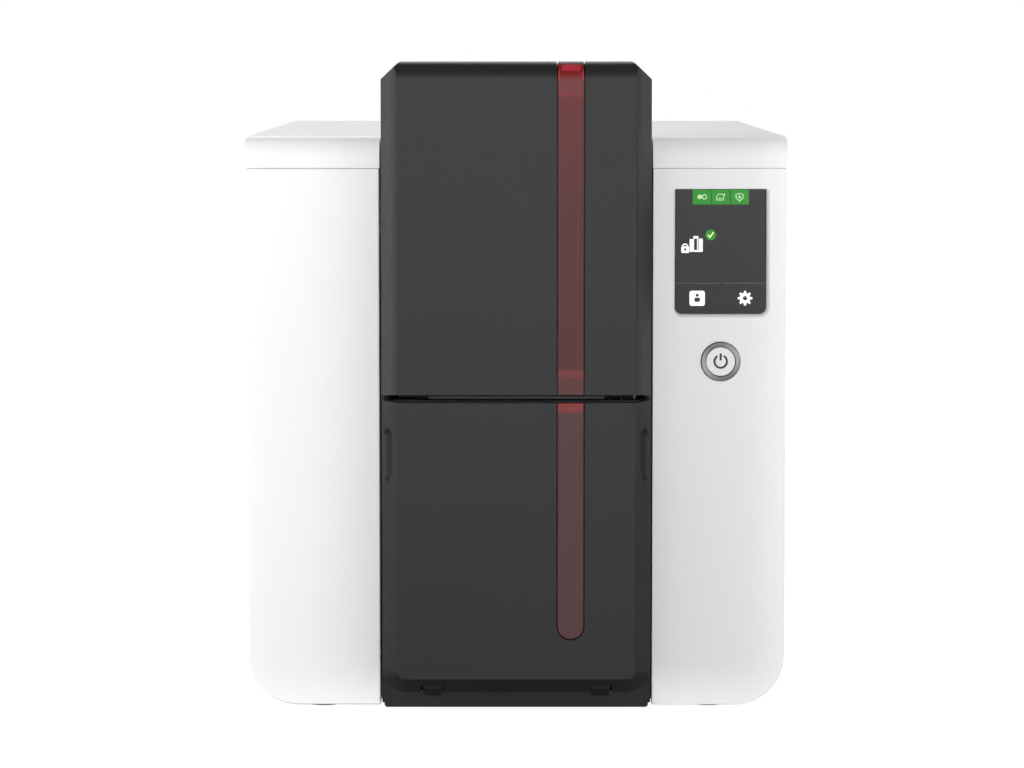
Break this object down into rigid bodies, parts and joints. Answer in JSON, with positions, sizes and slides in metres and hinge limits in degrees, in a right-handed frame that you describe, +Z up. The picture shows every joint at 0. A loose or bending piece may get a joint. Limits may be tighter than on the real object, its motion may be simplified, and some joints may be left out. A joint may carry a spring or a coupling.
{
  "type": "id card printer",
  "caption": "Desktop card printer: white two-part case with a rear-hinged hood, black front card module with two tilting doors, red strip, touchscreen and power button.",
  "frame": {"origin": "centre of the footprint on the surface it stands on", "axes": "+X to the right as seen from the front, the front faces -Y, +Z up"},
  "size_m": [0.205, 0.381, 0.2472],
  "materials": {
    "white_plastic": "satin, very fine texture",
    "black_plastic": "satin, fine texture",
    "dark_plastic": "matt",
    "red_window": "translucent, glossy",
    "rubber": "matt",
    "cleaning_rubber": "tacky, satin",
    "steel": "brushed",
    "polished_steel": "polished",
    "bronze": "oiled bronze",
    "ring_metal": "circular brushed",
    "glass": "glossy black glass",
    "grey_plastic": "matt",
    "light_plastic": "matt",
    "orange_plastic": "satin",
    "board": "solder mask",
    "motor_case": "black paint",
    "ribbon": "glossy film",
    "cable": "satin"
  },
  "bodies": {
    "chassis": {"base_pan": "black_plastic", "rubber_feet": "rubber", "left_cover": "white_plastic", "right_cover": "white_plastic", "rear_panel": "white_plastic", "case_screws": "steel", "front_bezel": "black_plastic", "hood_hinge_pins": "polished_steel", "feeder_housing": "black_plastic", "feeder_hinge_pins": "polished_steel", "output_hinge_pins": "polished_steel", "output_bin": "black_plastic", "frame_left_plate": "steel", "frame_right_plate": "steel", "frame_cross_bars": "steel", "card_guide": "light_plastic", "shaft_bushings": "bronze", "roller_belt": "rubber", "motor_belt": "rubber", "main_motor": "motor_case", "ribbon_film": "ribbon", "ribbon_motor": "steel", "control_board": "board", "display_module": "grey_plastic", "display_glass": "glass", "power_ring": "ring_metal", "button_spring": "steel", "button_switch": "dark_plastic", "display_cable": "cable", "mainboard": "board", "rear_ports": "dark_plastic", "fan_housing": "dark_plastic", "tray_shelf": "steel"},
    "hood_body": {"hood": "white_plastic", "hood_catch": "grey_plastic", "print_head_bracket": "steel", "print_head": "grey_plastic"},
    "feeder_cover": {"feeder_door": "black_plastic", "feeder_window": "red_window"},
    "output_cover": {"output_door": "black_plastic", "output_window": "red_window"},
    "pusher": {"card_pusher": "grey_plastic"},
    "gauge": {"thickness_gauge": "orange_plastic"},
    "button": {"power_button": "white_plastic"},
    "tray": {"reject_tray": "black_plastic"},
    "fan": {"fan_rotor": "dark_plastic"},
    "pick": {"pick_roller": "rubber", "pick_pulley": "light_plastic"},
    "front_drive": {"front_roller": "rubber", "front_pulley": "light_plastic"},
    "platen": {"platen_roller": "rubber", "platen_pulley": "light_plastic"},
    "rear_drive": {"rear_roller": "rubber", "rear_pulley": "light_plastic"},
    "cleaner": {"cleaning_roller": "cleaning_rubber"},
    "front_idler": {"front_pinch_roller": "polished_steel"},
    "rear_idler": {"rear_pinch_roller": "polished_steel"},
    "motor_drive": {"motor_pulley": "polished_steel"},
    "supply": {"ribbon_supply_spool": "ribbon"},
    "takeup": {"ribbon_takeup_spool": "ribbon"}
  },
  "joints": [
    {"name": "button_press", "type": "slide", "parent": "chassis", "child": "button", "axis": [0, 1, 0], "range_m": [0, 0.001], "stiffness_N_per_m": 1200, "springref_m": -0.0008, "deforming": ["button_spring"]},
    {"name": "card_pusher_lift", "type": "slide", "parent": "chassis", "child": "pusher", "axis": [0, 0, 1], "range_m": [0, 0.05]},
    {"name": "cover_hood_open", "type": "hinge", "parent": "chassis", "child": "hood_body", "pos_m": [0, 0.187, 0.207], "axis": [-1, 0, 0], "range_deg": [0, 75]},
    {"name": "door_feeder_tilt", "type": "hinge", "parent": "chassis", "child": "feeder_cover", "pos_m": [0, -0.1875, 0.1283], "axis": [1, 0, 0], "range_deg": [0, 75]},
    {"name": "door_output_tilt", "type": "hinge", "parent": "chassis", "child": "output_cover", "pos_m": [0, -0.181, 0.0202], "axis": [1, 0, 0], "range_deg": [0, 60]},
    {"name": "drawer_reject_slide", "type": "slide", "parent": "chassis", "child": "tray", "axis": [0, 1, 0], "range_m": [0, 0.06]},
    {"name": "fan_spin", "type": "hinge", "parent": "chassis", "child": "fan", "pos_m": [-0.06, 0.183, 0.12], "axis": [0, 1, 0], "continuous": true},
    {"name": "gauge_slide", "type": "slide", "parent": "chassis", "child": "gauge", "axis": [0, 0, 1], "range_m": [0, 0.0015]},
    {"name": "roller_platen_spin", "type": "hinge", "parent": "chassis", "child": "platen", "pos_m": [0, -0.01, 0.124], "axis": [1, 0, 0], "continuous": true},
    {"name": "roller_cleaner_spin", "type": "hinge", "parent": "chassis", "child": "cleaner", "pos_m": [0, -0.048, 0.124], "axis": [1, 0, 0], "continuous": true},
    {"name": "roller_front_spin", "type": "hinge", "parent": "chassis", "child": "front_drive", "pos_m": [0, -0.078, 0.124], "axis": [1, 0, 0], "continuous": true},
    {"name": "roller_front_pinch_spin", "type": "hinge", "parent": "chassis", "child": "front_idler", "pos_m": [0, -0.078, 0.1372], "axis": [1, 0, 0], "continuous": true},
    {"name": "roller_motor_spin", "type": "hinge", "parent": "chassis", "child": "motor_drive", "pos_m": [0, 0.038, 0.06], "axis": [1, 0, 0], "continuous": true},
    {"name": "roller_pick_spin", "type": "hinge", "parent": "chassis", "child": "pick", "pos_m": [0, -0.15, 0.124], "axis": [1, 0, 0], "continuous": true},
    {"name": "roller_rear_spin", "type": "hinge", "parent": "chassis", "child": "rear_drive", "pos_m": [0, 0.078, 0.124], "axis": [1, 0, 0], "continuous": true},
    {"name": "roller_rear_pinch_spin", "type": "hinge", "parent": "chassis", "child": "rear_idler", "pos_m": [0, 0.078, 0.1372], "axis": [1, 0, 0], "continuous": true},
    {"name": "spool_supply_spin", "type": "hinge", "parent": "chassis", "child": "supply", "pos_m": [0, 0.042, 0.165], "axis": [1, 0, 0], "continuous": true},
    {"name": "spool_takeup_spin", "type": "hinge", "parent": "chassis", "child": "takeup", "pos_m": [0, -0.062, 0.165], "axis": [1, 0, 0], "continuous": true}
  ],
  "couplings": [
    {"joint": "roller_front_spin", "follows": "roller_platen_spin", "ratio": 1},
    {"joint": "roller_rear_spin", "follows": "roller_platen_spin", "ratio": 1},
    {"joint": "roller_pick_spin", "follows": "roller_platen_spin", "ratio": 1},
    {"joint": "roller_motor_spin", "follows": "roller_platen_spin", "ratio": 1},
    {"joint": "roller_front_pinch_spin", "follows": "roller_platen_spin", "ratio": -1},
    {"joint": "roller_rear_pinch_spin", "follows": "roller_platen_spin", "ratio": -1},
    {"joint": "spool_takeup_spin", "follows": "spool_supply_spin", "ratio": 1.3333}
  ]
}
